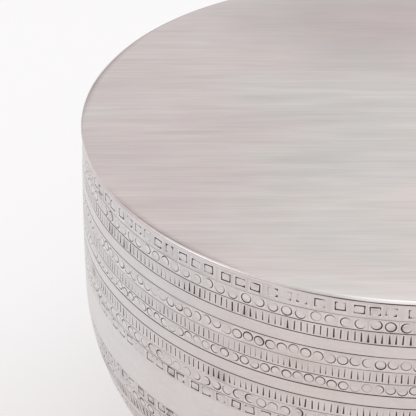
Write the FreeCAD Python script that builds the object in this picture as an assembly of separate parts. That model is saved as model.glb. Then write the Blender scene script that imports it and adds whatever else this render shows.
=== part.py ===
import FreeCAD, Part
import math
import os

# Round drum coffee table in millimetres: origin on the floor under the centre, +Z up.

# Overall form
table_height = 420.0        # floor to the top surface
rim_radius = 350.0          # outer edge of the round top
base_radius = 251.0         # where the bowl meets its turned-in lip
rim_overhang = 1.0          # the rim stands this far past the wall's top edge
belly_swell = 4.3           # the wall's widest point stands this far past its top edge
belly_drop = 184.0          # top surface down to the widest point
bend_drop = 201.0           # top surface down to where the wall turns into the bowl

# Top
top_sheet = 3.0             # brushed aluminium plate
edge_round = 2.6            # rounded upper edge of the plate
core_thickness = 18.0       # plywood disc under the plate
core_gap = 1.0              # core edge to the inside of the wall

# Wall and its scribed lines
wall_sheet = 1.5            # rolled and spun aluminium sheet
row_heights = (             # rows of one stamped band from its top down, a line between rows
    19.2, 14.0, 14.5, 13.7, 16.7, 14.0, 14.4, 13.9, 16.3, 14.1, 12.4)
plain_band = 42.0           # plain wall between the two stamped bands
line_width = 1.1            # V-shaped line, across
line_depth = 0.45           # V-shaped line, into the sheet
line_ridge = 0.2            # faint ridge that each line raises on the inside
lip_width = 30.0            # flat lip turned in at the bowl's foot

# Steel frame inside
fit_gap = 0.3               # frame to sheet, filled by glue or tack welds
rim_ring_thickness = 4.0
rim_ring_width = 28.0
hoop_thickness = 3.0        # hoop behind the weld between wall and bowl
hoop_height = 36.0
base_ring_thickness = 5.0
base_ring_margin = 18.0     # ring metal inside the levellers' circle
rib_count = 6
rib_width = 25.0
rib_thickness = 4.0
rib_foot = 30.0             # bent foot at each end of a rib, measured inwards

# Base panel
floor_gap = 6.0             # floor to the panel's underside
panel_thickness = 10.0
panel_inset = 10.0          # panel edge inside the bowl's foot

# Fasteners
thread_gap = 0.05           # radial clearance of threads and running fits
bolt_radius = 3.0
bolt_head_radius = 6.0
bolt_head_height = 3.5
bolt_inset = 18.0           # bolt circle inside the bowl's foot
bolt_end = 2.5              # thread that stands past the nut
nut_height = 5.0
nut_flats = 10.0
hole_gap = 0.3              # radial clearance of a bolt or screw hole
recess_gap = 0.5            # clearance around a sunk bolt head
screw_radius = 2.2
screw_head_radius = 4.5
screw_head_height = 3.0
screw_bite = 12.0           # depth of a screw in the core

# Levelling feet
foot_count = 4
foot_inset = 60.0           # foot circle inside the bowl's foot
foot_travel = 12.0
pad_radius = 20.0
pad_height = 5.5
pad_chamfer = 1.5
pad_floor = 1.5             # plastic left under the stud
stud_radius = 4.0
stud_end = 3.0              # thread left above the nut at full travel
collar_flats = 13.0         # hexagon for the spanner, also the leveller nut's size
collar_height = 4.0
collar_room = 1.0           # free height above the collar in the panel
collar_recess_radius = 11.0
leveller_nut_height = 6.5
stud_hole_gap = 1.0         # radial clearance of the stud in panel and ring

# Heights that follow from the stack
wall_top = table_height - top_sheet
core_bottom = wall_top - core_thickness
rim_ring_bottom = core_bottom - rim_ring_thickness
bowl_foot = floor_gap + panel_thickness
lip_top = bowl_foot + wall_sheet
base_ring_top = lip_top + base_ring_thickness
rib_foot_top = base_ring_top + rib_thickness

# Wall curve: a shallow barrel arc that runs into the bowl's arc without a kink
wall_top_radius = rim_radius - rim_overhang
belly_height = table_height - belly_drop
bend_height = table_height - bend_drop
belly_rise = wall_top - belly_height
barrel_curve = (belly_rise ** 2 + belly_swell ** 2) / (2 * belly_swell)
barrel_centre = wall_top_radius + belly_swell - barrel_curve
top_angle = math.asin(belly_rise / barrel_curve)
bend_angle = math.asin((bend_height - belly_height) / barrel_curve)
bend_radius = barrel_centre + barrel_curve * math.cos(bend_angle)
drop_r = bend_radius - base_radius
drop_z = bend_height - bowl_foot
drop_inwards = drop_r * math.cos(bend_angle) + drop_z * math.sin(bend_angle)
bowl_curve = (drop_r ** 2 + drop_z ** 2) / (2 * drop_inwards)
bowl_centre_r = bend_radius - bowl_curve * math.cos(bend_angle)
bowl_centre_z = bend_height - bowl_curve * math.sin(bend_angle)
bend_run = barrel_curve * (top_angle - bend_angle)

# Circles that the fasteners and feet share
bolt_circle = base_radius - bolt_inset
foot_circle = base_radius - foot_inset
rib_angles = [360.0 * (i + 0.5) / rib_count for i in range(rib_count)]
foot_angles = [360.0 * (i + 0.5) / foot_count for i in range(foot_count)]


def wall_point(run, inset):
    """Point in the XZ plane at a distance along the outer wall, some way inside it."""
    if run <= bend_run:
        angle = top_angle - run / barrel_curve
        reach = barrel_curve - inset
        return point(barrel_centre + reach * math.cos(angle), belly_height + reach * math.sin(angle))
    angle = bend_angle - (run - bend_run) / bowl_curve
    reach = bowl_curve - inset
    return point(bowl_centre_r + reach * math.cos(angle), bowl_centre_z + reach * math.sin(angle))


def run_at(height, inset):
    """Distance along the wall at which the surface some way inside it has this height."""
    if height >= wall_point(bend_run, inset).z:
        angle = math.asin((height - belly_height) / (barrel_curve - inset))
        return barrel_curve * (top_angle - angle)
    angle = math.asin((height - bowl_centre_z) / (bowl_curve - inset))
    return bend_run + bowl_curve * (bend_angle - angle)


def wall_arcs(start, end, inset):
    """Arcs along the wall curve from one run to another, split where barrel and bowl meet."""
    stops = [start, end]
    if min(start, end) < bend_run < max(start, end):
        stops.insert(1, bend_run)
    arcs = []
    for a, b in zip(stops, stops[1:]):
        points = [wall_point(run, inset) for run in (a, (a + b) / 2, b)]
        arcs.append(Part.Arc(*points).toShape())
    return arcs


def line(a, b):
    return Part.LineSegment(a, b).toShape()


def point(r, z):
    return FreeCAD.Vector(r, 0, z)


def revolve(edges):
    face = Part.Face(Part.Wire(Part.__sortEdges__(edges)))
    return face.revolve(FreeCAD.Vector(0, 0, 0), FreeCAD.Vector(0, 0, 1), 360)


def disc(radius, low, high, centre=FreeCAD.Vector(0, 0, 0)):
    return Part.makeCylinder(radius, high - low, FreeCAD.Vector(centre.x, centre.y, low))


def hexagon(flats, low, high, centre):
    corner = flats / math.sqrt(3)
    corners = []
    for i in range(7):
        corners.append(centre + on_circle(corner, 60 * i) + FreeCAD.Vector(0, 0, low))
    return Part.Face(Part.makePolygon(corners)).extrude(FreeCAD.Vector(0, 0, high - low))


def on_circle(radius, angle):
    turn = math.radians(angle)
    return FreeCAD.Vector(radius * math.cos(turn), radius * math.sin(turn), 0)


def cut_holes(shape, radius, low, high, circle, angles):
    holes = [disc(radius, low, high, on_circle(circle, angle)) for angle in angles]
    return shape.cut(holes)


def export(shape, node):
    shape.exportStep("parts/" + node + ".step")


# Decoration lines and the weld between wall and bowl, as distances along the wall
band_height = sum(row_heights)
joint_run = band_height + plain_band / 2
joint_height = wall_point(joint_run, 0).z
foot_run = run_at(bowl_foot, 0)


def line_runs(first, last):
    """Runs of the scribed lines that lie on the stretch of wall between two runs."""
    runs = []
    for band_start in (0, band_height + plain_band):
        for count in range(1, len(row_heights)):
            run = band_start + sum(row_heights[:count])
            if first + line_width < run < last - line_width:
                runs.append(run)
    return runs


def scribed_outline(start, end, inset, dent):
    """Edges of one side of the sheet between two runs, pushed inwards in a V at each scribed line."""
    edges = []
    here = start
    for run in line_runs(start, end):
        upper = run - line_width / 2
        lower = run + line_width / 2
        edges += wall_arcs(here, upper, inset)
        edges.append(line(wall_point(upper, inset), wall_point(run, inset + dent)))
        edges.append(line(wall_point(run, inset + dent), wall_point(lower, inset)))
        here = lower
    return edges + wall_arcs(here, end, inset)


# Brushed top plate with a rounded edge, resting on the wall and the core
round_middle = edge_round * math.sqrt(0.5)
round_centre = point(rim_radius - edge_round, table_height - edge_round)
plate_edges = [
    line(point(0, wall_top), point(rim_radius, wall_top)),
    line(point(rim_radius, wall_top), point(rim_radius, table_height - edge_round)),
    Part.Arc(
        point(rim_radius, table_height - edge_round),
        round_centre + point(round_middle, round_middle),
        point(rim_radius - edge_round, table_height),
    ).toShape(),
    line(point(rim_radius - edge_round, table_height), point(0, table_height)),
    line(point(0, table_height), point(0, wall_top)),
]
top_plate = revolve(plate_edges)

# Plywood core that stiffens the plate
wall_inside_top = wall_point(run_at(wall_top, wall_sheet), wall_sheet).x
core_radius = wall_inside_top - core_gap
top_core = disc(core_radius, core_bottom, wall_top)

# Flat steel ring that carries the core
frame_inset = wall_sheet + line_ridge + fit_gap
rim_ring_outer = wall_point(run_at(core_bottom, frame_inset), frame_inset).x
rim_ring_inner = rim_ring_outer - rim_ring_width
screw_circle = rim_ring_inner + rim_ring_width / 2
rim_ring = disc(rim_ring_outer, rim_ring_bottom, core_bottom).cut(
    disc(rim_ring_inner, rim_ring_bottom, core_bottom))

# Upper wall, barrel-shaped sheet
upper_edges = scribed_outline(0, joint_run, 0, line_depth)
joint_inside = run_at(joint_height, wall_sheet)
top_inside = run_at(wall_top, wall_sheet)
upper_edges.append(line(wall_point(joint_run, 0), wall_point(joint_inside, wall_sheet)))
upper_edges += scribed_outline(top_inside, joint_inside, wall_sheet, line_ridge)
upper_edges.append(line(wall_point(top_inside, wall_sheet), wall_point(0, 0)))
upper_wall = revolve(upper_edges)

# Lower bowl with a flat lip turned in at its foot
lip_inner = base_radius - lip_width
lip_inside = run_at(lip_top, wall_sheet)
bowl_edges = scribed_outline(joint_run, foot_run, 0, line_depth)
bowl_edges.append(line(wall_point(foot_run, 0), point(lip_inner, bowl_foot)))
bowl_edges.append(line(point(lip_inner, bowl_foot), point(lip_inner, lip_top)))
bowl_edges.append(line(point(lip_inner, lip_top), wall_point(lip_inside, wall_sheet)))
bowl_edges += scribed_outline(joint_inside, lip_inside, wall_sheet, line_ridge)
bowl_edges.append(line(wall_point(joint_inside, wall_sheet), wall_point(joint_run, 0)))
lower_bowl = revolve(bowl_edges)

# Hoop behind the weld between wall and bowl
hoop_inner = frame_inset + hoop_thickness
hoop_upper = joint_run - hoop_height / 2
hoop_lower = joint_run + hoop_height / 2
hoop_edges = wall_arcs(hoop_upper, hoop_lower, frame_inset)
hoop_edges.append(line(wall_point(hoop_lower, frame_inset), wall_point(hoop_lower, hoop_inner)))
hoop_edges += wall_arcs(hoop_lower, hoop_upper, hoop_inner)
hoop_edges.append(line(wall_point(hoop_upper, hoop_inner), wall_point(hoop_upper, frame_inset)))
waist_hoop = revolve(hoop_edges)

# Flat steel ring on the bowl's lip, which carries the ribs and the leveller nuts
base_ring_outer = wall_point(run_at(lip_top, frame_inset), frame_inset).x
base_ring_inner = foot_circle - base_ring_margin
base_ring = disc(base_ring_outer, lip_top, base_ring_top).cut(disc(base_ring_inner, lip_top, base_ring_top))

# Plywood panel that closes the base
base_panel = disc(base_radius - panel_inset, floor_gap, bowl_foot)

# Ribs: flat bars bent along the wall, with a foot at each end
rib_corner = (rib_width / 2) ** 2 / (2 * base_radius)
rib_outer = hoop_inner + fit_gap + rib_corner
rib_inner = rib_outer + rib_thickness
rib_top_foot = rim_ring_bottom - rib_thickness
outer_top = run_at(rim_ring_bottom, rib_outer)
outer_foot = run_at(base_ring_top, rib_outer)
inner_foot = run_at(rib_foot_top, rib_inner)
inner_top = run_at(rib_top_foot, rib_inner)
low_toe = bolt_circle - rib_foot / 2
high_toe = screw_circle - rib_foot / 2
rib_edges = wall_arcs(outer_top, outer_foot, rib_outer)
rib_edges.append(line(wall_point(outer_foot, rib_outer), point(low_toe, base_ring_top)))
rib_edges.append(line(point(low_toe, base_ring_top), point(low_toe, rib_foot_top)))
rib_edges.append(line(point(low_toe, rib_foot_top), wall_point(inner_foot, rib_inner)))
rib_edges += wall_arcs(inner_foot, inner_top, rib_inner)
rib_edges.append(line(wall_point(inner_top, rib_inner), point(high_toe, rib_top_foot)))
rib_edges.append(line(point(high_toe, rib_top_foot), point(high_toe, rim_ring_bottom)))
rib_edges.append(line(point(high_toe, rim_ring_bottom), wall_point(outer_top, rib_outer)))
rib_face = Part.Face(Part.Wire(Part.__sortEdges__(rib_edges)))
rib_face.translate(FreeCAD.Vector(0, -rib_width / 2, 0))
rib_blank = rib_face.extrude(FreeCAD.Vector(0, rib_width, 0))

# Holes for the screws that hold the core
screw_hole = screw_radius + hole_gap
rib_blank = cut_holes(rib_blank, screw_hole, rib_top_foot, rim_ring_bottom, screw_circle, [0])
rim_ring = cut_holes(rim_ring, screw_hole, rim_ring_bottom, core_bottom, screw_circle, rib_angles)
screw_tip = core_bottom + screw_bite
top_core = cut_holes(top_core, screw_radius + thread_gap, core_bottom, screw_tip, screw_circle, rib_angles)

# Holes for the bolts that clamp panel, lip, ring and ribs
bolt_hole = bolt_radius + hole_gap
head_seat = floor_gap + recess_gap + bolt_head_height
rib_blank = cut_holes(rib_blank, bolt_hole, base_ring_top, rib_foot_top, bolt_circle, [0])
base_ring = cut_holes(base_ring, bolt_hole, lip_top, base_ring_top, bolt_circle, rib_angles)
lower_bowl = cut_holes(lower_bowl, bolt_hole, bowl_foot, lip_top, bolt_circle, rib_angles)
base_panel = cut_holes(base_panel, bolt_hole, head_seat, bowl_foot, bolt_circle, rib_angles)
base_panel = cut_holes(
    base_panel, bolt_head_radius + recess_gap, floor_gap, head_seat, bolt_circle, rib_angles)

# Holes and recesses for the levelling feet
stud_hole = stud_radius + stud_hole_gap
collar_top = pad_height + collar_height
recess_top = collar_top + collar_room
base_ring = cut_holes(base_ring, stud_hole, lip_top, base_ring_top, foot_circle, foot_angles)
base_panel = cut_holes(base_panel, stud_hole, recess_top, bowl_foot, foot_circle, foot_angles)
base_panel = cut_holes(base_panel, collar_recess_radius, floor_gap, recess_top, foot_circle, foot_angles)


def core_screw(centre):
    head = disc(screw_head_radius, rib_top_foot - screw_head_height, rib_top_foot, centre)
    return head.fuse(disc(screw_radius, rib_top_foot, screw_tip, centre)).removeSplitter()


def base_bolt(centre):
    head = disc(bolt_head_radius, head_seat - bolt_head_height, head_seat, centre)
    bolt_tip = rib_foot_top + nut_height + bolt_end
    return head.fuse(disc(bolt_radius, head_seat, bolt_tip, centre)).removeSplitter()


def nut(flats, bore, low, high, centre):
    return hexagon(flats, low, high, centre).cut(disc(bore + thread_gap, low, high, centre))


def foot_pad(centre):
    pad = disc(pad_radius, 0, pad_height, centre)
    rim_edges = [e for e in pad.Edges if len(e.Vertexes) == 1 and e.Vertexes[0].Z > pad_height / 2]
    pad = pad.makeChamfer(pad_chamfer, rim_edges)
    return pad.cut(disc(stud_radius + thread_gap, pad_floor, pad_height, centre))


def foot_stud(centre):
    stud_top = base_ring_top + leveller_nut_height + foot_travel + stud_end
    collar = hexagon(collar_flats, pad_height, collar_top, centre)
    return disc(stud_radius, pad_floor, stud_top, centre).fuse(collar).removeSplitter()


screw_places = [on_circle(screw_circle, angle) for angle in rib_angles]
bolt_places = [on_circle(bolt_circle, angle) for angle in rib_angles]
foot_places = [on_circle(foot_circle, angle) for angle in foot_angles]
core_screws = Part.makeCompound([core_screw(place) for place in screw_places])
base_bolts = Part.makeCompound([base_bolt(place) for place in bolt_places])
rib_foot_nut_top = rib_foot_top + nut_height
base_nuts = Part.makeCompound(
    [nut(nut_flats, bolt_radius, rib_foot_top, rib_foot_nut_top, place) for place in bolt_places])
leveller_nut_top = base_ring_top + leveller_nut_height
leveller_nuts = Part.makeCompound(
    [nut(collar_flats, stud_radius, base_ring_top, leveller_nut_top, place) for place in foot_places])

os.makedirs("parts", exist_ok=True)
export(top_plate, "top_plate")
export(top_core, "top_core")
export(rim_ring, "rim_ring")
export(upper_wall, "upper_wall")
export(waist_hoop, "waist_hoop")
export(lower_bowl, "lower_bowl")
export(base_ring, "base_ring")
export(base_panel, "base_panel")
export(core_screws, "core_screws")
export(base_bolts, "base_bolts")
export(base_nuts, "base_nuts")
export(leveller_nuts, "leveller_nuts")
for number, angle in enumerate(rib_angles, 1):
    rib = rib_blank.copy()
    rib.rotate(FreeCAD.Vector(0, 0, 0), FreeCAD.Vector(0, 0, 1), angle)
    export(rib, "rib_%d" % number)
for number, place in enumerate(foot_places, 1):
    export(foot_pad(place), "foot_pad_%d" % number)
    export(foot_stud(place), "foot_stud_%d" % number)
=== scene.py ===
import math
import random
import bmesh
import bpy
from mathutils import Matrix, Vector, noise


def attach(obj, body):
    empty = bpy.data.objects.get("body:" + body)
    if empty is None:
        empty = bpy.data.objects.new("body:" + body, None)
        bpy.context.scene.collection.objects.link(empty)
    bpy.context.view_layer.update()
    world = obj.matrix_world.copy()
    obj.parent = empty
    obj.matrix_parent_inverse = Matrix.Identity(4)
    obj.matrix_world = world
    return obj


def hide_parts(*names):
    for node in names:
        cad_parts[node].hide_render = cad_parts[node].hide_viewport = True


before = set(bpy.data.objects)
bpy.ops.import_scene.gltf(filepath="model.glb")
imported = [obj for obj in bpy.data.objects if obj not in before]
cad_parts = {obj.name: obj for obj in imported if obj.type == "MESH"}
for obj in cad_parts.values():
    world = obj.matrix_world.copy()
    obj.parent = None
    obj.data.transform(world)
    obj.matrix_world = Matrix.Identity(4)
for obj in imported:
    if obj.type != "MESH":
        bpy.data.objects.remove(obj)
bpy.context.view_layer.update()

mm = 0.001
hair = 0.01 * mm  # points nearer than this are the same
body = "drum"
print("frame:", len(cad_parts), "CAD nodes")


def colour(code):  # sRGB hex to linear
    parts = [int(code[i:i + 2], 16) / 255 for i in (1, 3, 5)]
    return [c / 12.92 if c <= 0.04045 else ((c + 0.055) / 1.055) ** 2.4 for c in parts] + [1.0]


def addNode(tree, kind, settings=None, links=None):  # one node, its settings and what feeds it
    node = tree.nodes.new(kind)
    for key, value in (settings or {}).items():
        if isinstance(key, int) or key in node.inputs:
            node.inputs[key].default_value = value
        else:
            setattr(node, key, value)
    for key, source in (links or {}).items():
        tree.links.new(source, node.inputs[key])
    return node


def startMaterial(name, metallic, roughness):
    material = bpy.data.materials.new(name)
    material.use_nodes = True
    shader = material.node_tree.nodes["Principled BSDF"]
    shader.inputs["Metallic"].default_value = metallic
    shader.inputs["Roughness"].default_value = roughness
    return material, material.node_tree, shader


def cloudyTone(tree, size, turn=0.0, start=(0, 0, 0)):  # soft patches of a real size, as values about 0.5
    place = addNode(tree, "ShaderNodeTexCoord").outputs["Object"]
    grid = addNode(tree, "ShaderNodeMapping",
                   {"vector_type": "TEXTURE", "Location": start, "Rotation": (0, 0, turn), "Scale": size},
                   {"Vector": place})
    return addNode(tree, "ShaderNodeTexNoise", {"Scale": 1.0, "Detail": 3.0, "Roughness": 0.55},
                   {"Vector": grid.outputs[0]}).outputs[0]


def twoTones(tree, tone, span, first, second):  # from one colour to the other while a tone crosses its span
    share = addNode(tree, "ShaderNodeMapRange", {"From Min": span[0], "From Max": span[1]}, {"Value": tone})
    return addNode(tree, "ShaderNodeMix", {"data_type": "RGBA", 6: colour(first), 7: colour(second)},
                   {0: share.outputs[0]}).outputs[2]


def patchAround(tree, centre, reach, most):  # 0 beyond the first reach, rising to most within the second
    place = addNode(tree, "ShaderNodeTexCoord").outputs["Object"]
    apart = addNode(tree, "ShaderNodeVectorMath", {"operation": "DISTANCE", 1: centre}, {0: place})
    return addNode(tree, "ShaderNodeMapRange",
                   {"interpolation_type": "SMOOTHSTEP", "From Min": reach[0], "From Max": reach[1],
                    "To Min": 0.0, "To Max": most},
                   {"Value": apart.outputs["Value"]}).outputs[0]


def wearAndPaintedLightLayers(tree, tint, look):  # attribute: wax and painted shade above 0, metal rubbed bright and painted highlight below 0
    waxWearAndPaintedLight = addNode(tree, "ShaderNodeAttribute", {"attribute_name": "waxWearAndPaintedLight"}).outputs["Fac"]
    layers = {}
    for name, gain in (("rubbedAndHighlight", -look["rubAndHighlightGain"]), ("wax", look["waxGain"])):
        layers[name] = addNode(tree, "ShaderNodeMath",
                               {"operation": "MULTIPLY", "use_clamp": True, 1: gain}, {0: waxWearAndPaintedLight}).outputs[0]
        tint = addNode(tree, "ShaderNodeMix", {"data_type": "RGBA", 7: colour(look[name])},
                       {0: layers[name], 6: tint}).outputs[2]
    return tint, layers["wax"]


def finishSurface(tree, shader, tint, grain, look):  # colour, and a gloss and relief that follow the grain
    gloss = addNode(tree, "ShaderNodeMapRange",
                    {"From Min": look["glossSpan"][0], "From Max": look["glossSpan"][1],
                     "To Min": look["roughness"][0], "To Max": look["roughness"][1]},
                    {"Value": grain})
    relief = addNode(tree, "ShaderNodeBump", {"Strength": look["bump"], "Distance": look["relief"]},
                     {"Height": grain})
    tree.links.new(tint, shader.inputs["Base Color"])
    tree.links.new(gloss.outputs[0], shader.inputs["Roughness"])
    tree.links.new(relief.outputs[0], shader.inputs["Normal"])
    return gloss.outputs[0]


def seenDirectly(tree):  # 1 for what the eye sees, also in metal or glass, 0 for what lights the table
    path = addNode(tree, "ShaderNodeLightPath").outputs
    seen = addNode(tree, "ShaderNodeMath", {"operation": "MAXIMUM"},
                   {0: path["Is Camera Ray"], 1: path["Is Glossy Ray"]})
    return addNode(tree, "ShaderNodeMath", {"operation": "MAXIMUM"},
                   {0: seen.outputs[0], 1: path["Is Transmission Ray"]}).outputs[0]


def addPiece(shape, name, material, slot, *nodes):
    mesh = bpy.data.meshes.new(name)
    shape.to_mesh(mesh)
    shape.free()
    piece = bpy.data.objects.new(name, mesh)
    bpy.context.scene.collection.objects.link(piece)
    mesh.materials.append(material)
    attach(piece, body)
    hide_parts(*nodes)
    mesh.calc_loop_triangles()
    print(name + ":", len(mesh.loop_triangles), "triangles")


# Aluminium plate, brushed by hand in straight strokes and left to dull: fine long streaks that overlap, a
# satin gloss, a warm grey that changes from patch to patch, a painted dark reflection towards the back, a
# rim rubbed bright that holds a painted highlight, and wax beside and under the rim that also paints shade
# there
brushed = {
    "rosy": "#CDC1C0", "grey": "#CAC6C3", "warmthSpan": (0.38, 0.62),
    # the rubbed colour is also the rim's painted highlight, and the wax colour its painted shade and dark
    # reflection
    "rubbedAndHighlight": "#F0EDEC", "rubAndHighlightGain": 1.0, "wax": "#3C2522", "waxGain": 1.0,
    "turn": math.radians(8.2),                  # strokes run a little off the X axis
    "line": (90 * mm, 1.2 * mm, 1),             # a brush line's length and width, coarse enough to show
    "stroke": (130 * mm, 8 * mm, 1), "patch": (140 * mm, 50 * mm, 1),
    "strokeShare": 0.8, "patchShare": 0.6,      # in the streaks, where the lines have a share of 1
    "warmth": (320 * mm, 220 * mm, 1), "warmthStart": (-0.2, 0.15, 0),
    "shade": 0.15, "shadeSpan": (0.8, 1.6),
    "darkReflectionAt": (-0.06, 0.25, 0.42), "darkReflectionReach": (220 * mm, 30 * mm), "darkReflection": 0.16,  # painted dark reflection at the back
    "roughness": (0.28, 0.40), "glossSpan": (0.3, 0.7), "relief": 0.04 * mm, "bump": 0.5,
}
brushedTop, tree, shader = startMaterial("brushedAluminium", 1.0, sum(brushed["roughness"]) / 2)
line = cloudyTone(tree, brushed["line"], brushed["turn"])
stroke = cloudyTone(tree, brushed["stroke"], brushed["turn"])
patch = cloudyTone(tree, brushed["patch"], brushed["turn"])
warmth = cloudyTone(tree, brushed["warmth"], brushed["turn"], brushed["warmthStart"])
tint = twoTones(tree, warmth, brushed["warmthSpan"], brushed["rosy"], brushed["grey"])
streak = line
for tone, share in ((stroke, brushed["strokeShare"]), (patch, brushed["patchShare"])):
    streak = addNode(tree, "ShaderNodeMath", {"operation": "MULTIPLY_ADD", 1: share},
                     {0: tone, 2: streak}).outputs[0]
streak = addNode(tree, "ShaderNodeMapRange",
                 {"From Min": brushed["shadeSpan"][0], "From Max": brushed["shadeSpan"][1],
                  "To Min": 1 - brushed["shade"], "To Max": 1 + brushed["shade"]},
                 {"Value": streak})
# A painted dark reflection: the plate is darker in a patch towards the back
paintedDarkReflection = patchAround(tree, brushed["darkReflectionAt"], brushed["darkReflectionReach"], 2 * brushed["darkReflection"])
paintedDarkReflection = addNode(tree, "ShaderNodeMath", {"operation": "MULTIPLY"}, {0: paintedDarkReflection, 1: stroke})
paintedReflectionLevel = addNode(tree, "ShaderNodeMath", {"operation": "SUBTRACT", 0: 1.0}, {1: paintedDarkReflection.outputs[0]})
streak = addNode(tree, "ShaderNodeMath", {"operation": "MULTIPLY"},
                 {0: streak.outputs[0], 1: paintedReflectionLevel.outputs[0]})
tint = addNode(tree, "ShaderNodeVectorMath", {"operation": "SCALE"},
               {"Vector": tint, "Scale": streak.outputs[0]})
tint = wearAndPaintedLightLayers(tree, tint.outputs[0], brushed)[0]
finishSurface(tree, shader, tint, line, brushed)

# Aluminium sheet, rolled, struck with punches, waxed dark and rubbed back: satin metal with fine lines
# round the drum, wax left dark in every mark, bright metal with a painted highlight on the lips that the
# punches raised, and wax with painted shade under the rim
struck = {
    "light": "#EAE9E9", "dark": "#E0DCDC", "toneSpan": (0.8, 1.4),
    "warm": "#FFF8F6", "warmthSpan": (0.38, 0.62),
    "edge": "#F6F6F6",                          # dulled metal, seen along its surface
    # the rubbed colour is also the painted highlight on the lips, and the wax colour the painted shade under
    # the rim
    "rubbedAndHighlight": "#F8F6F6", "rubAndHighlightGain": 2.8, "wax": "#3C2522", "waxGain": 2.6, "waxRoughness": 0.6,
    "rub": (90 * mm, 90 * mm, 1.6 * mm),        # fine lines, drawn coarse enough to show
    "cloud": (120 * mm, 120 * mm, 60 * mm), "pits": (6 * mm, 6 * mm, 4 * mm),
    "rubShare": 0.6, "pitsShare": 0.6,          # in the tone, where the clouds have a share of 1
    "warmth": (300 * mm, 300 * mm, 400 * mm), "warmthStart": (-0.12, -0.05, 0),
    "roughness": (0.26, 0.38), "glossSpan": (0.3, 0.7), "relief": 0.03 * mm, "bump": 0.5,
}
struckWall, tree, shader = startMaterial("waxedStruckAluminium", 1.0, sum(struck["roughness"]) / 2)
shader.inputs["Specular Tint"].default_value = colour(struck["edge"])
rub, cloud, pits = [cloudyTone(tree, struck[layer]) for layer in ("rub", "cloud", "pits")]
mixed = cloud
for tone, share in ((rub, struck["rubShare"]), (pits, struck["pitsShare"])):
    mixed = addNode(tree, "ShaderNodeMath", {"operation": "MULTIPLY_ADD", 1: share},
                    {0: tone, 2: mixed}).outputs[0]
tint = twoTones(tree, mixed, struck["toneSpan"], struck["dark"], struck["light"])
warmth = cloudyTone(tree, struck["warmth"], 0.0, struck["warmthStart"])
warmth = addNode(tree, "ShaderNodeMapRange",
                 {"From Min": struck["warmthSpan"][0], "From Max": struck["warmthSpan"][1]},
                 {"Value": warmth})
tint = addNode(tree, "ShaderNodeMix",
               {"data_type": "RGBA", "blend_type": "MULTIPLY", 7: colour(struck["warm"])},
               {0: warmth.outputs[0], 6: tint})
tint, waxAndShade = wearAndPaintedLightLayers(tree, tint.outputs[2], struck)
gloss = finishSurface(tree, shader, tint, rub, struck)
gloss = addNode(tree, "ShaderNodeMix", {"data_type": "FLOAT", 3: struck["waxRoughness"]},
                {0: waxAndShade, 2: gloss})
bare = addNode(tree, "ShaderNodeMath", {"operation": "SUBTRACT", 0: 1.0}, {1: waxAndShade})
tree.links.new(gloss.outputs[0], shader.inputs["Roughness"])  # wax is duller, and isn't metal
tree.links.new(bare.outputs[0], shader.inputs["Metallic"])

# Finishes of the solids that are kept as they are, and what they have in common
plainLook = {"toneSpan": (0.35, 0.65), "glossSpan": (0.35, 0.65), "bump": 0.6, "upright": 0.5}
plainFinishes = {
    # birch, rotary cut, glued and sanded: pale brown grain one way, plies in lines on the sawn edge
    "sandedBirchPlywood": {
        "tones": ("#A9845A", "#C8A679"), "metallic": 0.0, "roughness": (0.55, 0.70),
        "grain": (180 * mm, 5 * mm, 5 * mm), "relief": 0.05 * mm, "ply": 3 * mm, "nodes": ("top_core",)},
    # the same board stained black: the grain is only just seen
    "blackStainedPlywood": {
        "tones": ("#221F1D", "#35302C"), "metallic": 0.0, "roughness": (0.50, 0.65),
        "grain": (180 * mm, 5 * mm, 5 * mm), "relief": 0.08 * mm, "ply": 3 * mm, "nodes": ("base_panel",)},
    # flat steel bar under black primer: matt, over the soft bumps of mill scale
    "primedSteelBar": {
        "tones": ("#3E3E41", "#4C4C50"), "metallic": 0.0, "roughness": (0.52, 0.68),
        "grain": (9 * mm, 9 * mm, 9 * mm), "relief": 0.10 * mm,
        "nodes": ("rim_ring", "waist_hoop", "base_ring", "rib_")},
    # steel with bright zinc plating: a cool shine with slight clouds
    "zincPlatedSteel": {
        "tones": ("#B3B5B8", "#CBCBC8"), "metallic": 1.0, "roughness": (0.28, 0.45),
        "grain": (4 * mm, 4 * mm, 4 * mm), "relief": 0.02 * mm,
        "nodes": ("core_screws", "base_bolts", "base_nuts", "leveller_nuts", "foot_stud_")},
    # nylon, moulded in a spark-eroded mould: dark, matt, its grain drawn coarse enough to show
    "mouldedNylon": {
        "tones": ("#222222", "#2D2D2C"), "metallic": 0.0, "roughness": (0.45, 0.60),
        "grain": (1.2 * mm, 1.2 * mm, 1.2 * mm), "relief": 0.08 * mm, "nodes": ("foot_pad_",)},
}
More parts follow.
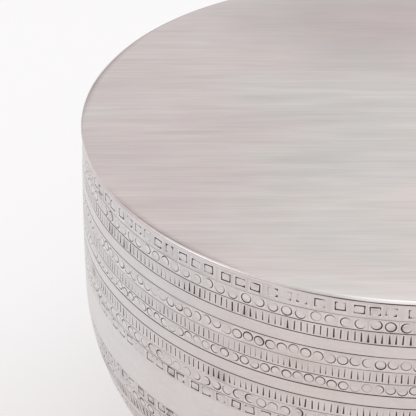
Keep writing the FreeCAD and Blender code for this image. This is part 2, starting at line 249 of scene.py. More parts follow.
for name, ownLook in plainFinishes.items():
    look = plainLook | ownLook
    finish, tree, shader = startMaterial(name, look["metallic"], look["roughness"][0])
    grain = cloudyTone(tree, look["grain"])
    tint = twoTones(tree, grain, look["toneSpan"], *look["tones"])
    if "ply" in look:  # every second ply shows end grain, on faces that stand upright
        place = addNode(tree, "ShaderNodeTexCoord").outputs
        height = addNode(tree, "ShaderNodeSeparateXYZ", None, {0: place["Object"]})
        facing = addNode(tree, "ShaderNodeSeparateXYZ", None, {0: place["Normal"]})
        layer = addNode(tree, "ShaderNodeMath", {"operation": "WRAP", 1: look["ply"], 2: 0.0},
                        {0: height.outputs["Z"]})
        layer = addNode(tree, "ShaderNodeMath", {"operation": "LESS_THAN", 1: look["ply"] / 2},
                        {0: layer.outputs[0]})
        level = addNode(tree, "ShaderNodeMath", {"operation": "ABSOLUTE"}, {0: facing.outputs["Z"]})
        edge = addNode(tree, "ShaderNodeMath", {"operation": "LESS_THAN", 1: look["upright"]},
                       {0: level.outputs[0]})
        edge = addNode(tree, "ShaderNodeMath", {"operation": "MULTIPLY"},
                       {0: edge.outputs[0], 1: layer.outputs[0]})
        tint = addNode(tree, "ShaderNodeMix", {"data_type": "RGBA", 7: colour(look["tones"][0])},
                       {0: edge.outputs[0], 6: tint}).outputs[2]
    finishSurface(tree, shader, tint, grain, look)
    for node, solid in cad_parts.items():
        if node.startswith(look["nodes"]):
            for holder in solid.material_slots:
                holder.material = finish
print("finishes made")

# Wall and bowl follow the same curve as the solids: a barrel arc that runs into the bowl's arc
wall = {
    "tableHeight": 420 * mm, "topSheet": 3 * mm, "rimRadius": 350 * mm, "rimOverhang": 1.0 * mm,
    "bellySwell": 4.3 * mm, "bellyDrop": 184 * mm, "bendDrop": 201 * mm,
    "baseRadius": 251 * mm, "footHeight": 16 * mm, "sheet": 1.5 * mm,
    "lip": 30 * mm, "fold": (0.3 * mm, 3 * mm),  # where the lip starts past the foot, outside and inside
    "boltInset": 18 * mm, "boltHole": 3.3 * mm, "boltCount": 6, "holeSides": 16,
    "dressed": 0.12 * mm,                       # sanded back this much from the solid's face
    "deepest": 0.8 * mm,                        # so that no mark goes through the sheet
    # rolled by hand: rows wander and the sheet has soft hollows, up to a short way from its ends
    "unevenRun": 0.5 * mm, "unevenDepth": 0.25 * mm, "fade": 30 * mm,
    "wanders": (3, 9), "hollows": (4, 14), "hollowsStart": (5, 9),  # how close, round the drum and down it
    "segments": 360, "seamTurn": math.radians(30),
}
wallTop = wall["tableHeight"] - wall["topSheet"]
bellyHeight = wall["tableHeight"] - wall["bellyDrop"]
bellyRise = wallTop - bellyHeight
bendHeight = wall["tableHeight"] - wall["bendDrop"]
barrelCurve = (bellyRise ** 2 + wall["bellySwell"] ** 2) / (2 * wall["bellySwell"])
barrelCentre = wall["rimRadius"] - wall["rimOverhang"] + wall["bellySwell"] - barrelCurve
topAngle = math.asin(bellyRise / barrelCurve)
bendAngle = math.asin((bendHeight - bellyHeight) / barrelCurve)
bendRadius = barrelCentre + barrelCurve * math.cos(bendAngle)
dropR = bendRadius - wall["baseRadius"]
dropZ = bendHeight - wall["footHeight"]
bowlCurve = (dropR ** 2 + dropZ ** 2) / (2 * (dropR * math.cos(bendAngle) + dropZ * math.sin(bendAngle)))
bowlRadius = bendRadius - bowlCurve * math.cos(bendAngle)
bowlHeight = bendHeight - bowlCurve * math.sin(bendAngle)
bendRun = barrelCurve * (topAngle - bendAngle)
flatLength = 2 * math.pi * wall["rimRadius"]  # the sheet is worked flat, then rolled up


def runAt(height, inset):  # distance down the wall at which it has this height
    if height > bendHeight:
        return barrelCurve * (topAngle - math.asin((height - bellyHeight) / (barrelCurve - inset)))
    return bendRun + bowlCurve * (bendAngle - math.asin((height - bowlHeight) / (bowlCurve - inset)))


footRun = runAt(wall["footHeight"], 0)
lipEnd = footRun + wall["lip"]


def wallPoint(run, inset):  # radius and height at a distance down the wall, then in along the lip
    if run > footRun + hair / 10:
        return wall["baseRadius"] - (run - footRun), wall["footHeight"] + inset
    if run <= bendRun:
        angle = topAngle - run / barrelCurve
        reach, r, z = barrelCurve - inset, barrelCentre, bellyHeight
    else:
        angle = bendAngle - (run - bendRun) / bowlCurve
        reach, r, z = bowlCurve - inset, bowlRadius, bowlHeight
    return r + reach * math.cos(angle), z + reach * math.sin(angle)


# The rim was rolled and rubbed by hand, so it changes round the table: stretches where the roll is looser,
# where it is rubbed bright and holds a painted highlight, where it holds a painted dark reflection, where
# wax and painted shade lie under it, and where wax and a painted dark reflection lie on the plate beside it
rim = {
    "loose": {"stretches": 3, "turn": math.radians(-7), "more": 0.0, "most": 1.0},
    "bright": {"stretches": 10, "turn": math.radians(33), "more": 0.5, "most": 0.65},
    "under": {"stretches": 3, "turn": math.radians(-13), "more": 0.0, "most": 1.5},
    "beside": {"stretches": 6, "turn": math.radians(39), "more": 0.4, "most": 0.9},
    "darkReflection": {"stretches": 1, "turn": math.radians(125), "more": -0.55, "most": 1.3},
    "roll": (0.8, 0.25),                        # its usual size, and how much that changes
    "wax": (0.8, 0.5), "waxPatches": 12,        # how thick the wax and painted shade along the rim are, and how uneven
    "dimmest": 0.05,
}


def rimStretch(angle, name):  # above 0 where the rim is so, below 0 elsewhere
    part = rim[name]
    return part["most"] * (math.cos(part["stretches"] * (angle + part["turn"])) + part["more"])


# wax along the rim, which also paints the shade under it and the dark reflection beside it
def rimWaxAndPaintedShade(angle, place):
    spot = Vector((math.sin(angle), math.cos(angle), 0)) * rim["waxPatches"]
    thickness = rim["wax"][0] + rim["wax"][1] * noise.noise(spot)
    return min(max(rimStretch(angle, place) * thickness, 0), 1)


# Rows of one stamped band from the top down, each with its height and the distance from mark to mark in
# millimetres, and how hard it was struck
band = {
    "rows": (("squares", 19.2, 16.5, 1.0), ("circles", 14.0, 14.05, 1.0), ("ticks", 14.5, 6.43, 1.1),
             ("plain", 13.7, 0, 0), ("circles", 16.7, 11.75, 1.0), ("ticks", 14.0, 5.96, 0.7),
             ("circles", 14.4, 11.1, 0.85), ("plain", 13.9, 0, 0), ("ticks", 16.3, 6.29, 1.0),
             ("circles", 14.1, 12.85, 1.0), ("squares", 12.4, 16.7, 1.05)),
    "firstRow": 10.1 * mm, "plainBand": 42.0 * mm, "collar": 2.2 * mm, "step": 0.7 * mm, "group": 6,
    "seamWaxAndShade": 0.8 * mm,                        # how far down the collar the wax and painted shade under the rim go
    "blows": (1.0, 1.3), "seeds": (10, 40),     # upper and lower band: the bowl's was struck harder
    "apart": 0.1 * mm, "spare": 0.04 * mm,      # least distance between marks, and to their cell's edge
    # lines between the rows: the width and depth that each has and that its force adds, and its uneven wax
    "lineWidth": 1.3 * mm, "widthShare": (0.55, 0.45), "lineDepth": 0.5 * mm, "depthShare": (0.5, 0.5),
    "lineForce": (0.36, 0.85, 1.05, 0.9, 0.4, 0.65, 1.5, 1.2, 0.38, 0.48),
    "lineWax": (0.9, 0.8), "waxPatches": (22, 900),
}
bandHeight = sum(row[1] for row in band["rows"]) * mm
jointRun = bandHeight + band["plainBand"] / 2

# Punches: the mark's outline, the steps of its groove, how evenly it was struck, how bright its lip was
# rubbed, which also paints a highlight on the lip, and which sides of a square bit deeper
punches = {
    "squares": {"corners": 4, "size": (11.0 * mm, 9.7 * mm), "depth": 0.5 * mm,
                "groove": ((0.4 * mm, 1.0), (0.7 * mm, 1.0), (0.5 * mm, -0.5)), "sideCuts": 2,
                "cuts": 4, "turn": 0.08, "shift": (2.2 * mm, 0.5 * mm), "drift": 0.8 * mm,
                "tilt": (0.2, 1.0), "swing": 0.0, "vary": 0.9, "rub": 0.15,
                "sides": (0.05, 0.4, -0.05, -0.15)},  # lower, upper, left, right
    "circles": {"corners": 14, "size": (11.9 * mm, 11.8 * mm), "depth": 0.5 * mm,
                "groove": ((0.6 * mm, 1.0), (1.2 * mm, -0.5)),
                "cuts": 3, "turn": 0.0, "shift": (0.6 * mm, 0.4 * mm), "drift": 2.4 * mm,
                "tilt": (0.4, 2.2), "swing": 0.0, "vary": 0.95, "rub": 0.3, "sides": (0, 0, 0, 0)},
    "ticks": {"corners": 4, "size": (2.2 * mm, 10.8 * mm), "depth": 0.5 * mm,
              "groove": ((0.2 * mm, 1.0),), "edge": (0.2, 0.9, 1),  # a chisel's edge
              "widen": (0.45, 0.5, 0.4),        # a tick's width: its own, from its force, from its tilt
              "cuts": 1, "turn": 0.05, "shift": (0.4 * mm, 0.5 * mm), "drift": 0.6 * mm,
              "tilt": (0.1, 0.6), "swing": 1.1, "vary": 0.6, "rub": 0.14, "sides": (0, 0, 0, 0)},
}
# The hand that struck: it changes slowly along a row and from row to row, and a little at every blow
hand = {
    "alike": 14, "rowApart": 3.7, "force": 0.8, "chance": 0.3, "weakest": 0.28, "hardest": 1.35,
    "lean": -0.6, "leanChance": 0.7, "leanRun": 0.6, "leanStart": (31, 17, 5),
    "swingRun": 0.2, "swingStart": (3, 44, 8), "driftRun": 2,
    "sides": (-0.4, 1.2), "corners": (0.4, 2.2), "cornerFrom": 0.25, "faintest": 0.04,
}
# Lip round each mark, and the wax left on the sheet: a film, less of it where the sheet is plain, more in
# some stretches of the upper rows, a haze beside heavy strikes and smears on their lips
raised = {
    "height": 0.06 * mm, "film": 0.04, "plain": 0.008, "patches": (40, 90), "plainSeed": 7,
    "haze": 0.08, "hazeFrom": 0.6, "smear": 0.5, "smearFrom": 0.85,
    "stretches": 3, "turn": math.radians(42), "drop": 85 * mm, "more": 0.035,
}
sheetLayers = ("waxWearAndPaintedLight", "dip", "mark")  # the last two only while the sheet is worked


def sheetAngle(x):  # turn about the axis at a distance along the flat sheet, 0 at the front
    return 2 * math.pi * x / flatLength - math.pi + wall["seamTurn"]


def waxFilm(amount, x, y, seed):
    stretch = max(math.cos(raised["stretches"] * (sheetAngle(x) + raised["turn"])), 0)
    high = min(max(2 + y / raised["drop"], 0), 1)  # 1 down to the drop, 0 from twice as far
    spot = Vector((x * raised["patches"][0], y * raised["patches"][1], seed))
    return amount * (1 + noise.noise(spot)) + raised["more"] * stretch * high


def newSheet():
    sheet = bmesh.new()
    for name in sheetLayers:
        sheet.verts.layers.float.new(name)
    return sheet


def addStrip(sheet, strip):
    mesh = bpy.data.meshes.new("strip")
    strip.to_mesh(mesh)
    sheet.from_mesh(mesh)
    bpy.data.meshes.remove(mesh)
    strip.free()


def plainStrip(sheet, runs, depth=0.0, waxAndShade=None):
    strip = newSheet()
    waxWearAndPaintedLight = strip.verts.layers.float["waxWearAndPaintedLight"]
    last = len(runs) - 1
    bmesh.ops.create_grid(strip, x_segments=wall["segments"], y_segments=last, size=0.5)
    for v in strip.verts:
        row = round((0.5 - v.co.y) * last)
        v.co = ((v.co.x + 0.5) * flatLength, -runs[row], -depth)
        if waxAndShade and row < last:
            v[waxWearAndPaintedLight] = rimWaxAndPaintedShade(sheetAngle(v.co.x), waxAndShade)
        elif depth == 0:
            v[waxWearAndPaintedLight] = waxFilm(raised["plain"], v.co.x, v.co.y, raised["plainSeed"])
    addStrip(sheet, strip)


def blankCell(strip, width, first, last, cuts):  # border of one cell, drawn in millimetres, ready to fill
    corners = bmesh.ops.create_grid(strip, x_segments=1, y_segments=1, size=0.5)["verts"]
    bmesh.ops.scale(strip, vec=(width / mm, (last - first) / mm, 1), verts=corners)
    bmesh.ops.translate(strip, vec=(width / 2 / mm, -(first + last) / 2 / mm, 0), verts=corners)
    bmesh.ops.delete(strip, geom=strip.faces[:], context="FACES_ONLY")
    level = [e for e in strip.edges if abs(e.verts[0].co.y - e.verts[1].co.y) < hair / mm]
    bmesh.ops.subdivide_edges(strip, edges=level, cuts=cuts)
    return strip.edges[:]


def repeatCell(strip, width, count, stretch):  # filled cell to metres, then along the sheet in groups
    bmesh.ops.scale(strip, vec=(stretch * mm, mm, mm), verts=strip.verts[:])
    for size, copies in ((1, band["group"]), (band["group"], count // band["group"])):
        bmesh.ops.spin(strip, geom=strip.verts[:] + strip.edges[:] + strip.faces[:], cent=(0, 0, 0),
                       axis=(0, 0, 1), dvec=(width * stretch * size, 0, 0), angle=0, steps=copies - 1,
                       use_duplicate=True)
    sides = [v for v in strip.verts if v.is_boundary]
    bmesh.ops.remove_doubles(strip, verts=sides, dist=hair)


def drawMark(strip, kind, across, tall):  # one mark about the origin, in millimetres: outline and groove
    punch = punches[kind]
    dip = strip.verts.layers.float["dip"]
    outline = bmesh.ops.create_circle(strip, cap_ends=True, segments=punch["corners"], radius=0.5)["verts"]
    cap = outline[0].link_faces[0]
    if punch["corners"] == 4:
        bmesh.ops.rotate(strip, cent=(0, 0, 0), matrix=Matrix.Rotation(math.pi / 4, 3, "Z"), verts=outline)
        bmesh.ops.scale(strip, vec=(math.sqrt(2), math.sqrt(2), 1), verts=outline)
    bmesh.ops.scale(strip, vec=(across / mm, tall / mm, 1), verts=outline)
    if "sideCuts" in punch:
        bmesh.ops.bisect_edges(strip, edges=cap.edges[:], cuts=punch["sideCuts"])
    for width, bite in punch["groove"]:  # down to its floor, then up to the lip inside it
        bmesh.ops.inset_region(strip, faces=[cap], thickness=width / mm, use_even_offset=True,
                               use_boundary=True)
        for v in cap.verts:
            v[dip] = bite
    if "edge" in punch:
        bmesh.ops.scale(strip, vec=punch["edge"], verts=cap.verts[:])
    return cap


def drawStrikes(punch, count, hard, seed):  # each strike's force, tilt and slip; neighbours are alike
    draw = random.Random(seed)
    strikes = []
    for i in range(count):
        turn = 2 * math.pi * i / count
        spot = Vector((math.cos(turn), math.sin(turn), 0)) * count / hand["alike"]
        spot += Vector((0, 0, seed * hand["rowApart"]))
        chance = draw.uniform(-hand["chance"], hand["chance"])
        force = hand["force"] + punch["vary"] * (noise.noise(spot) + chance)
        lean = 2 * math.pi * noise.noise(spot * hand["leanRun"] + Vector(hand["leanStart"])) + hand["lean"]
        swing = punch["swing"] * noise.noise(spot * hand["swingRun"] + Vector(hand["swingStart"]))
        drift = punch["drift"] * noise.noise(spot * hand["driftRun"])
        strikes.append({
            "force": min(max(force * hard, hand["weakest"]), hand["hardest"]),
            "lean": lean + draw.uniform(-hand["leanChance"], hand["leanChance"]),
            "tilt": draw.uniform(*punch["tilt"]) + swing,
            "sides": [max(draw.uniform(*hand["sides"]) + bias, 0) for bias in punch["sides"]],
            "corners": [draw.uniform(*hand["corners"]) for corner in range(4)],
            "turn": draw.uniform(-punch["turn"], punch["turn"]),
            "x": draw.uniform(-punch["shift"][0], punch["shift"][0]),
            "y": draw.uniform(-punch["shift"][1], punch["shift"][1]) + drift,
        })
    return strikes


def evenness(kind, strike, x, y, size):  # how fully the punch bit at this point of its outline
    tilt = strike["tilt"]
    if kind == "ticks":
        return (1 - tilt * y / size[1] * 2) / (1 + abs(tilt))
    even = max(1 + tilt * math.cos(math.atan2(y, x) - strike["lean"]), hand["faintest"]) / (1 + tilt)
    if kind == "circles":
        return even
    if min(abs(x), abs(y)) > hand["cornerFrom"] * size[0]:
        return even * strike["corners"][(x > 0) + 2 * (y > 0)]
    return even * strike["sides"][(y > 0) if abs(y) > abs(x) else 2 + (x > 0)]


def struckStrip(sheet, kind, spacing, hard, first, last, centre, seed):
    punch = punches[kind]
    radius = wallPoint(centre, 0)[0]
    count = round(2 * math.pi * radius / (spacing * mm * band["group"])) * band["group"]
    width = 2 * math.pi * radius / count
    stretch = flatLength / (2 * math.pi * radius)
    strip = newSheet()
    waxWearAndPaintedLight, dip, mark = [strip.verts.layers.float[name] for name in sheetLayers]
    across = min(punch["size"][0], width - band["apart"])
    tall = punch["size"][1] * across / punch["size"][0]
    cap = drawMark(strip, kind, across, tall)
    drawn = strip.verts[:]
    outer = [e for e in strip.edges if e.is_boundary]
    for v in drawn:
        v[mark] = 1.0
    for e in outer + cap.edges[:]:
        e.smooth = False
    bmesh.ops.translate(strip, vec=(width / 2 / mm, -centre / mm, 0), verts=drawn)
    field = newSheet()
    blankCell(field, width, first, last, punch["cuts"])
    addStrip(strip, field)
    border = [e for e in strip.edges if not e.link_faces]
    bmesh.ops.triangle_fill(strip, use_beauty=True, edges=border + outer, normal=(0, 0, 1))
    repeatCell(strip, width, count, stretch)

    # each mark gets its own strike
    strikes = drawStrikes(punch, count, hard, seed)
    room = max((width - across) / 2 - band["spare"], 0)
    roomUp = centre - first - tall / 2 - band["spare"]
    roomDown = last - centre - tall / 2 - band["spare"]
    cell = width * stretch
    for v in strip.verts:
        film = waxFilm(raised["film"], v.co.x, v.co.y, seed)
        if not v[mark]:  # a film of wax stays between the marks, more of it beside heavy strikes
            i = round(v.co.x / cell)
            heavy = (strikes[i - 1]["force"] + strikes[i % count]["force"]) / 2 - raised["hazeFrom"]
            v[waxWearAndPaintedLight] = film + raised["haze"] * max(heavy, 0)
            continue
        i = min(int(v.co.x / cell), count - 1)
        strike = strikes[i]
        force, tilt, turn = strike["force"], strike["tilt"], strike["turn"]
        x, y = (v.co.x - (i + 0.5) * cell) / stretch, v.co.y + centre
        even = evenness(kind, strike, x, y, punch["size"])
        if "widen" in punch:  # wider where it bit deeper
            usual, forced, tilted = punch["widen"]
            x *= (usual + forced * force) * (1 - tilted * tilt * y / punch["size"][1] * 2)
        bite = v[dip] * force * even
        slip = min(max(strike["x"], -room), room)
        rise = min(max(strike["y"], -roomDown), roomUp)
        v.co.x = (i + 0.5) * cell + (x * math.cos(turn) - y * math.sin(turn) + slip) * stretch
        v.co.y = x * math.sin(turn) + y * math.cos(turn) - centre + rise
        if v[dip] > 0:
            v.co.z = -min(punch["depth"] * bite, wall["deepest"])
            v[waxWearAndPaintedLight] = min(bite, 1.0)
        else:
            lift = force * min(even, 1.0)
            v.co.z = raised["height"] * lift
            smear = raised["smear"] * max(lift - raised["smearFrom"], 0)
            smear = raised["haze"] * max(lift - raised["hazeFrom"], 0) + smear
            # the lip is rubbed bright, which also paints a highlight on it
            v[waxWearAndPaintedLight] = film + smear - punch["rub"] * lift * (1 + v[dip])
    addStrip(sheet, strip)


def lipStrip(sheet, start, depth):  # lip with its bolt holes
    radius = wall["baseRadius"] - wall["boltInset"]
    width = 2 * math.pi * radius / wall["boltCount"]
    strip = newSheet()
    border = blankCell(strip, width, start, lipEnd, wall["segments"] // wall["boltCount"] - 1)
    hole = bmesh.ops.create_circle(strip, segments=wall["holeSides"], radius=wall["boltHole"] / mm)["verts"]
    bmesh.ops.translate(strip, vec=(width / 2 / mm, -(footRun + wall["boltInset"]) / mm, 0), verts=hole)
    holeEdges = [e for e in strip.edges if e.verts[0] in hole]
    for e in holeEdges:
        e.smooth = False
    bmesh.ops.triangle_fill(strip, use_beauty=True, edges=border + holeEdges, normal=(0, 0, 1))
    bmesh.ops.translate(strip, vec=(0, 0, -depth / mm), verts=strip.verts[:])
    repeatCell(strip, width, wall["boltCount"], flatLength / (2 * math.pi * radius))
    addStrip(sheet, strip)


def levelEdges(sheet):  # open edges of the strips, grouped by run and depth
    chains = {}
    for e in sheet.edges:
        a, b = [v.co for v in e.verts]
        if e.is_boundary and abs(a.y - b.y) < hair / 5 and abs(a.z - b.z) < hair / 5:
            chains.setdefault((round(a.y / mm, 2), round(a.z / mm, 2)), []).append(e)
    return chains


def joinStrips(sheet, gaps):  # fills each gap between strips, with a scribed line where it has a force
    chains = levelEdges(sheet)
    waxWearAndPaintedLight = sheet.verts.layers.float["waxWearAndPaintedLight"]
    for (runA, depthA), (runB, depthB), force, sharp in gaps:
        upper = chains[(round(-runA / mm, 2), round(-depthA / mm, 2))]
        lower = chains[(round(-runB / mm, 2), round(-depthB / mm, 2))]
        if sharp:
            for e in upper + lower:
                e.smooth = False
        if force:
            made = bmesh.ops.extrude_edge_only(sheet, edges=upper)["geom"]
            floor = {part for part in made if isinstance(part, bmesh.types.BMVert)}
            sink = min(band["depthShare"][0] + band["depthShare"][1] * force, 1)
            for v in floor:
                spot = Vector((v.co.x * band["waxPatches"][0], runA * band["waxPatches"][1], 0))
                wax = band["lineWax"][0] + band["lineWax"][1] * noise.noise(spot)
                v.co.y -= (runB - runA) / 2
                v.co.z -= band["lineDepth"] * sink
                v[waxWearAndPaintedLight] = min(max(force * wax, 0), 1)
            upper = [e for e in made if isinstance(e, bmesh.types.BMEdge) and set(e.verts) <= floor]
        bmesh.ops.bridge_loops(sheet, edges=upper + lower)


def rollUp(sheet, ends):  # bends the flat sheet round the drum and closes its seam
    seam = []
    for v in sheet.verts:
        x, run, inset = v.co.x, -v.co.y, -v.co.z
        if x < 5 * hair or x > flatLength - 5 * hair:
            x = 0
            seam.append(v)
        angle = sheetAngle(x)
        around = Vector((math.sin(angle), -math.cos(angle), 0))
        free = min(max((run - ends[0]) / wall["fade"], 0), max((ends[1] - run) / wall["fade"], 0), 1)
        if run < footRun and inset < wall["deepest"] + hair:  # the outer face only
            spot = around * wall["wanders"][0] + Vector((0, 0, run * wall["wanders"][1]))
            run += wall["unevenRun"] * free * noise.noise(spot)
            spot = around * wall["hollows"][0] + Vector((*wall["hollowsStart"], run * wall["hollows"][1]))
            hollow = (1 + noise.noise(spot)) / 2
            inset += wall["dressed"] + free * (wall["unevenDepth"] * hollow + raised["height"])
        r, z = wallPoint(run, inset)
        v.co = around * r + Vector((0, 0, z))
    bmesh.ops.remove_doubles(sheet, verts=seam, dist=hair)
    bmesh.ops.recalc_face_normals(sheet, faces=sheet.faces[:])
    for face in sheet.faces:
        face.smooth = True
    print("open edges:", sum(1 for e in sheet.edges if not e.is_manifold))
    for name in sheetLayers[1:]:
        sheet.verts.layers.float.remove(sheet.verts.layers.float[name])


def stampBand(sheet, start, seed, blow):  # rows of marks, and the scribed lines between them
    forces = band["lineForce"]
    lines = [start + sum(row[1] for row in band["rows"][:i + 1]) * mm for i in range(len(forces))]
    usual, forced = band["widthShare"]
    halves = [band["lineWidth"] / 2 * (usual + forced * force) for force in forces]
    tops = [start + band["collar"] + band["step"]] + [line + half for line, half in zip(lines, halves)]
    bottoms = [line - half for line, half in zip(lines, halves)] + [start + bandHeight]
    for i, (kind, height, spacing, hard) in enumerate(band["rows"]):
        centre = start + band["firstRow"] if i == 0 else (tops[i] + bottoms[i]) / 2
        if kind == "plain":
            plainStrip(sheet, [tops[i], centre, bottoms[i]])
        else:
            struckStrip(sheet, kind, spacing, hard * blow, tops[i], bottoms[i], centre, seed + i)
    return [((bottoms[i], 0), (tops[i + 1], 0), force, True) for i, force in enumerate(forces)]


def spread(first, last, count):
    return [first + (last - first) * i / count for i in range(count + 1)]


steps = {"aboveJoint": 4, "belowJoint": 5, "foot": 12, "insideWall": 8, "insideBowl": 16}  # of plain sheet
thick = wall["sheet"]
jointInside = runAt(wallPoint(jointRun, 0)[1], thick)
topInside = runAt(wallTop, thick)

upper = newSheet()
gaps = stampBand(upper, 0, band["seeds"][0], band["blows"][0])
# wax and painted shade under the rim, along the top of the collar
plainStrip(upper, [0, band["seamWaxAndShade"], band["collar"]], 0, "under")
gaps.append(((band["collar"], 0), (band["collar"] + band["step"], 0), 0, False))
below = bandHeight + band["step"]
plainStrip(upper, spread(below, jointRun, steps["aboveJoint"]))
gaps.append(((bandHeight, 0), (below, 0), 0, False))
plainStrip(upper, spread(topInside, jointInside, steps["insideWall"]), thick)
gaps.append(((0, 0), (topInside, thick), 0, True))
gaps.append(((jointRun, 0), (jointInside, thick), 0, True))
joinStrips(upper, gaps)
rollUp(upper, (0, jointRun))
addPiece(upper, "stampedWall", struckWall, "stamped_wall", "upper_wall")

lower = newSheet()
bandStart = bandHeight + band["plainBand"]
gaps = stampBand(lower, bandStart, band["seeds"][1], band["blows"][1])
above = bandStart + band["collar"]
plainStrip(lower, spread(jointRun, above, steps["belowJoint"]))
gaps.append(((above, 0), (above + band["step"], 0), 0, False))
below = bandStart + bandHeight + band["step"]
plainStrip(lower, spread(below, footRun, steps["foot"]))
gaps.append(((bandStart + bandHeight, 0), (below, 0), 0, False))
foldOutside, foldInside = [footRun + start for start in wall["fold"]]
lipStrip(lower, foldOutside, 0)
gaps.append(((footRun, 0), (foldOutside, 0), 0, True))
lipInside = runAt(wall["footHeight"] + thick, thick)
plainStrip(lower, spread(jointInside, lipInside, steps["insideBowl"]), thick)
lipStrip(lower, foldInside, thick)
gaps.append(((lipInside, thick), (foldInside, thick), 0, True))
gaps.append(((jointRun, 0), (jointInside, thick), 0, True))
gaps.append(((lipEnd, 0), (lipEnd, thick), 0, True))
joinStrips(lower, gaps)
near = 2.5 * wall["boltHole"]  # the flat sheet is stretched here, so the holes are wide
for i in range(wall["boltCount"]):  # walls of the bolt holes
    middle = Vector(((i + 0.5) * flatLength / wall["boltCount"], -footRun - wall["boltInset"], 0))
    apart = [(e, e.verts[0].co - middle) for e in lower.edges if e.is_boundary]
    rings = [e for e, gap in apart if abs(gap.x) < near and abs(gap.y) < near]
    bmesh.ops.bridge_loops(lower, edges=rings)
rollUp(lower, (jointRun, footRun))
addPiece(lower, "stampedBowl", struckWall, "stamped_wall", "lower_bowl")

# Top plate, cut round and rolled over at its edge by hand
top = {
    "segments": 720, "roll": 3.2 * mm, "squeeze": 0.75, "rollSteps": 8,  # a flat roll, wider than deep
    "drop": 0.5 * mm, "uneven": 0.1 * mm, "patches": 14,
    "edge": 0.8 * mm, "brightDrop": 1.5 * mm, "least": 0.05 * mm,
    "bands": (0.5 * mm, 0.6 * mm, 1.9 * mm, 3 * mm, 4 * mm),  # widths of the rings inside the roll
    "film": (0.0, 1.0, 0.2, 0.14), "lineDepth": 0.12 * mm,    # wax on them, most of it in a fine line, and a painted dark reflection with it
}
plate = bmesh.new()
waxWearAndPaintedLight = plate.verts.layers.float.new("waxWearAndPaintedLight")
bmesh.ops.create_circle(plate, cap_ends=True, segments=top["segments"], radius=wall["rimRadius"])
lowered = bmesh.ops.extrude_face_region(plate, geom=plate.faces[:], use_keep_orig=True)["geom"]
bmesh.ops.translate(plate, vec=(0, 0, -wall["topSheet"] / top["squeeze"]),
                    verts=[part for part in lowered if isinstance(part, bmesh.types.BMVert)])
corner = [e for e in plate.edges if min(v.co.z for v in e.verts) > -hair]
bmesh.ops.bevel(plate, geom=corner, offset=top["roll"], offset_type="OFFSET", affect="EDGES",
                segments=top["rollSteps"], profile=0.5, material=-1)
bmesh.ops.scale(plate, vec=(1, 1, top["squeeze"]), verts=plate.verts[:])
bmesh.ops.translate(plate, vec=(0, 0, wall["tableHeight"]), verts=plate.verts[:])
discs = [face for face in plate.faces if len(face.verts) == top["segments"]]
for width in top["bands"]:
    bmesh.ops.inset_region(plate, faces=discs, thickness=width, use_even_offset=True)
shoulder = sum(top["bands"])
rollStart = wall["rimRadius"] - top["roll"]
rings = [rollStart - sum(top["bands"][:i]) for i in range(len(top["film"]))]
for v in plate.verts:  # dressed by hand: it falls away a little towards the rim, and not evenly
    angle = math.atan2(v.co.x, -v.co.y)
    reach = math.hypot(v.co.x, v.co.y)
    out = reach - (rollStart - shoulder)
    above = v.co.z - wallTop
    # wax and painted shade along the lower edge of the rim
    if above < top["edge"]:
        v[waxWearAndPaintedLight] = rimWaxAndPaintedShade(angle, "under")
    elif reach > rollStart + hair:  # rubbed bright, with a painted highlight, brightest low on the roll
        low = (wall["tableHeight"] - v.co.z) / top["brightDrop"] + max(rimStretch(angle, "loose"), 0)
        # painted dark reflection on the far stretch of the roll
        darkReflection = max(rimStretch(angle, "darkReflection"), 0)
        v[waxWearAndPaintedLight] = darkReflection - max(rimStretch(angle, "bright"), rim["dimmest"]) * min(low, 1) * (1 - darkReflection)
    # wax in a fine line beside the rim, and a painted dark reflection on the rings inside it
    for ring, film in zip(rings, top["film"]):
        if abs(reach - ring) < hair and above > top["edge"]:
            v[waxWearAndPaintedLight] = film * rimWaxAndPaintedShade(angle, "beside")
            if film == max(top["film"]):
                v.co.z -= top["lineDepth"] * v[waxWearAndPaintedLight]
    if out > -hair and above > hair:
        size = rim["roll"][0] + rim["roll"][1] * rimStretch(angle, "loose")
        if reach > rollStart - hair:
            v.co.z = wall["tableHeight"] - (wall["tableHeight"] - v.co.z) * size
            wide = wall["rimRadius"] - (wall["rimRadius"] - reach) * size
        else:
            wide = reach + top["roll"] * (1 - size)
        fall = top["drop"] + top["uneven"] * noise.noise(v.co * top["patches"])
        v.co.z = max(v.co.z - fall * min(max(out / shoulder, 0), 1) ** 2, wallTop + top["least"])
        v.co.x *= wide / reach
        v.co.y *= wide / reach
bmesh.ops.recalc_face_normals(plate, faces=plate.faces[:])
for face in plate.faces:
    face.smooth = True
for e in plate.edges:
    if max(v.co.z for v in e.verts) < wallTop + 2 * top["least"]:
        e.smooth = False
addPiece(plate, "brushedPlate", brushedTop, "brushed_top", "top_plate")

# Camera at the photograph's angle
view = {"place": (0, -1.4759, 1.2372), "turn": 0.1436, "dip": 0.5718, "lens": 131.62, "sensor": 36}
camera = bpy.data.cameras.new("camera")
camera.lens = view["lens"]
camera.sensor_width = view["sensor"]
cameraObject = bpy.data.objects.new("camera", camera)
cameraObject.location = view["place"]
cameraObject.rotation_euler = (math.pi / 2 - view["dip"], 0, view["turn"])
bpy.context.scene.collection.objects.link(cameraObject)
bpy.context.scene.camera = cameraObject

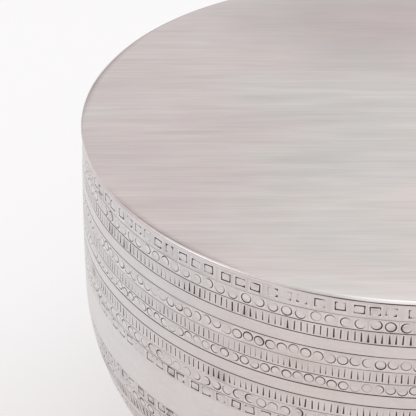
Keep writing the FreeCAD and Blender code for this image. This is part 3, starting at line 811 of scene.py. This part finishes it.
# White paper sweep, matt, with a painted shade in front of the table: part of what the eye or the metal sees
# of it is plain white, and all of it far away, and the rest keeps the shadow
paper = {"light": "#FBFAFA", "shade": "#ECE7E5", "shadeAt": (-0.3, -0.8, 0), "fade": (1.05, 0.35),
         "white": 0.42, "far": (1.5, 5.0), "radius": 8.0, "sides": 64, "roughness": 0.9}
floorMesh = bpy.data.meshes.new("floor")
ground = bmesh.new()
bmesh.ops.create_circle(ground, cap_ends=True, segments=paper["sides"], radius=paper["radius"])
ground.to_mesh(floorMesh)
ground.free()
floorObject = bpy.data.objects.new("floor", floorMesh)
bpy.context.scene.collection.objects.link(floorObject)
floorPaint, tree, shader = startMaterial("paperFloor", 0.0, paper["roughness"])
tint = addNode(tree, "ShaderNodeMix",
               {"data_type": "RGBA", 6: colour(paper["light"]), 7: colour(paper["shade"])},
               {0: patchAround(tree, paper["shadeAt"], paper["fade"], 1.0)})
tree.links.new(tint.outputs[2], shader.inputs["Base Color"])
place = addNode(tree, "ShaderNodeTexCoord").outputs["Object"]
apart = addNode(tree, "ShaderNodeVectorMath", {"operation": "LENGTH"}, {0: place})
share = addNode(tree, "ShaderNodeMapRange",
                {"From Min": paper["far"][0], "From Max": paper["far"][1],
                 "To Min": paper["white"], "To Max": 1.0},
                {"Value": apart.outputs["Value"]})
amount = addNode(tree, "ShaderNodeMath", {"operation": "MULTIPLY"},
                 {0: seenDirectly(tree), 1: share.outputs[0]})
white = addNode(tree, "ShaderNodeEmission", {"Strength": 1.0}, {"Color": tint.outputs[2]})
blended = addNode(tree, "ShaderNodeMixShader", None,
                  {0: amount.outputs[0], 1: shader.outputs[0], 2: white.outputs[0]})
tree.links.new(blended.outputs[0], tree.nodes["Material Output"].inputs["Surface"])
floorMesh.materials.append(floorPaint)

# White studio with two softboxes: one high behind the table, a cooler one at its left that shows in the rim
light = {"ambient": 0.97, "aim": (0, 0, 0.35)}
softboxes = {
    "back": {"power": 4.0, "size": 2.0, "place": (0.35, 0.65, 2.35), "colour": "#FFFFFF"},
    "left": {"power": 3.5, "size": 0.8, "place": (-1.62, -1.05, 1.6), "colour": "#F4F7FF"},
}
world = bpy.data.worlds.new("studio")
bpy.context.scene.world = world
world.use_nodes = True
tree = world.node_tree
level = addNode(tree, "ShaderNodeMapRange", {"To Min": light["ambient"], "To Max": 1.0},
                {"Value": seenDirectly(tree)})
tree.links.new(level.outputs[0], tree.nodes["Background"].inputs["Strength"])
tree.nodes["Background"].inputs["Color"].default_value = colour(paper["light"])
for name, box in softboxes.items():
    lamp = bpy.data.lights.new(name, "AREA")
    lamp.energy = box["power"]
    lamp.size = box["size"]
    lamp.color = colour(box["colour"])[:3]
    lampObject = bpy.data.objects.new(name, lamp)
    lampObject.location = box["place"]
    aim = Vector(light["aim"]) - Vector(box["place"])
    lampObject.rotation_euler = aim.to_track_quat("-Z", "Y").to_euler()
    bpy.context.scene.collection.objects.link(lampObject)
bpy.context.scene.view_settings.view_transform = "Standard"
print("camera, floor and light set")
